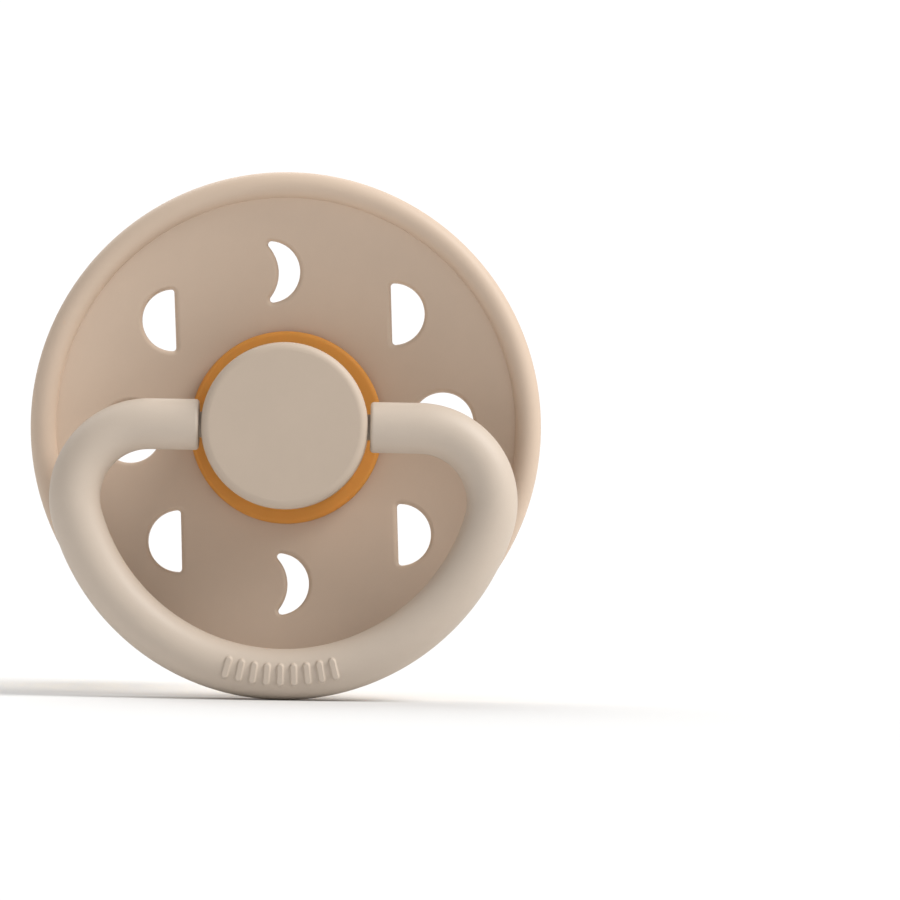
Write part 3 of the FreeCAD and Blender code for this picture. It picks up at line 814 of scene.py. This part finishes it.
class SOOTHER_OT_stage(bpy.types.Operator):
    """Floor, backdrop, lights and camera"""

    bl_idname = "soother.stage"
    bl_label = "Stage"

    def execute(self, context):
        scene = context.scene
        stage = scene.soother_stage
        finish = scene.soother_finishes

        build = bmesh.new()
        half = stage.floor_half
        corners = [(-half, -half), (half, -half), (half, half), (-half, half)]
        build.faces.new([build.verts.new((x, y, HANDLE_LOW.z)) for x, y in corners])
        floor = finish_mesh(build, "floor", sharp=30)
        set_material(floor, floor_material(finish.floor))

        world = bpy.data.worlds.new("Studio")
        scene.world = world
        world.use_nodes = True
        tree = world.node_tree
        room = tree.nodes["Background"]
        room.inputs["Color"].default_value = (*WHITE, 1.0)
        room.inputs["Strength"].default_value = stage.room
        behind = add(tree, "ShaderNodeBackground")
        behind.inputs["Color"].default_value = (*WHITE, 1.0)
        behind.inputs["Strength"].default_value = stage.backdrop
        seen = add(tree, "ShaderNodeLightPath")
        mix = add(tree, "ShaderNodeMixShader")
        tree.links.new(seen.outputs["Is Camera Ray"], mix.inputs["Fac"])
        tree.links.new(room.outputs[0], mix.inputs[1])
        tree.links.new(behind.outputs[0], mix.inputs[2])
        tree.links.new(mix.outputs[0], tree.nodes["World Output"].inputs["Surface"])

        soft_light("key", stage.key_side, stage.key_up, stage.key_spread, stage.key_power, stage.key_colour)
        soft_light("back", stage.back_side, stage.back_up, stage.back_spread, stage.back_power, WHITE)

        data = bpy.data.cameras.new("camera")
        data.lens = stage.lens
        data.sensor_width = 36.0
        data.clip_start = 0.01
        data.clip_end = 20.0
        camera = bpy.data.objects.new("camera", data)
        scene.collection.objects.link(camera)
        # The camera looks at the middle of the shield, then turns so that the object stands off its axis.
        across, rise = math.cos(stage.below), -math.sin(stage.below)
        towards = Vector((math.sin(stage.side) * across, -math.cos(stage.side) * across, rise))
        seen_at = Vector((-math.tan(stage.object_side), math.tan(stage.object_up), -1.0))
        facing = (-towards).to_track_quat("-Z", "Y")
        offset = Vector((0, 0, -1)).rotation_difference(seen_at)
        camera.rotation_mode = "QUATERNION"
        camera.rotation_quaternion = Quaternion(-towards, -stage.roll) @ facing @ offset.inverted()
        camera.location = towards * stage.distance
        scene.camera = camera
        scene.view_settings.view_transform = "Standard"
        return {"FINISHED"}


class SOOTHER_PT_panel(bpy.types.Panel):
    """Sizes, finishes and pieces of the soother"""

    bl_idname = "SOOTHER_PT_panel"
    bl_label = "Ring soother"
    bl_space_type = "VIEW_3D"
    bl_region_type = "UI"
    bl_category = "Soother"

    def draw(self, context):
        for piece, group in PANEL_ROWS:
            box = self.layout.box()
            box.operator(piece.bl_idname)
            if group:
                for key in GROUPS[group].__annotations__:
                    box.prop(getattr(context.scene, group), key)


GROUPS = {
    "soother_teat": SootherTeatSizes,
    "soother_handle": SootherHandleSizes,
    "soother_finishes": SootherFinishes,
    "soother_stage": SootherStageSizes,
}
PANEL_ROWS = [
    (SOOTHER_OT_shield, "soother_finishes"),
    (SOOTHER_OT_stopper, None),
    (SOOTHER_OT_teat, "soother_teat"),
    (SOOTHER_OT_button, None),
    (SOOTHER_OT_handle, "soother_handle"),
    (SOOTHER_OT_stage, "soother_stage"),
]
CLASSES = [*GROUPS.values(), *[row[0] for row in PANEL_ROWS], SOOTHER_PT_panel]


def register():
    """Adds the classes and the scene's property groups."""
    for kind in CLASSES:
        bpy.utils.register_class(kind)
    for name, group in GROUPS.items():
        setattr(bpy.types.Scene, name, bpy.props.PointerProperty(type=group))


def unregister():
    """Takes the property groups and the classes away again."""
    for name in GROUPS:
        delattr(bpy.types.Scene, name)
    for kind in reversed(CLASSES):
        bpy.utils.unregister_class(kind)


def main():
    """Builds every piece and the stage."""
    register()
    bpy.ops.soother.shield()
    bpy.ops.soother.stopper()
    bpy.ops.soother.teat()
    bpy.ops.soother.button()
    bpy.ops.soother.handle()
    bpy.ops.soother.stage()


if __name__ == "__main__":
    main()
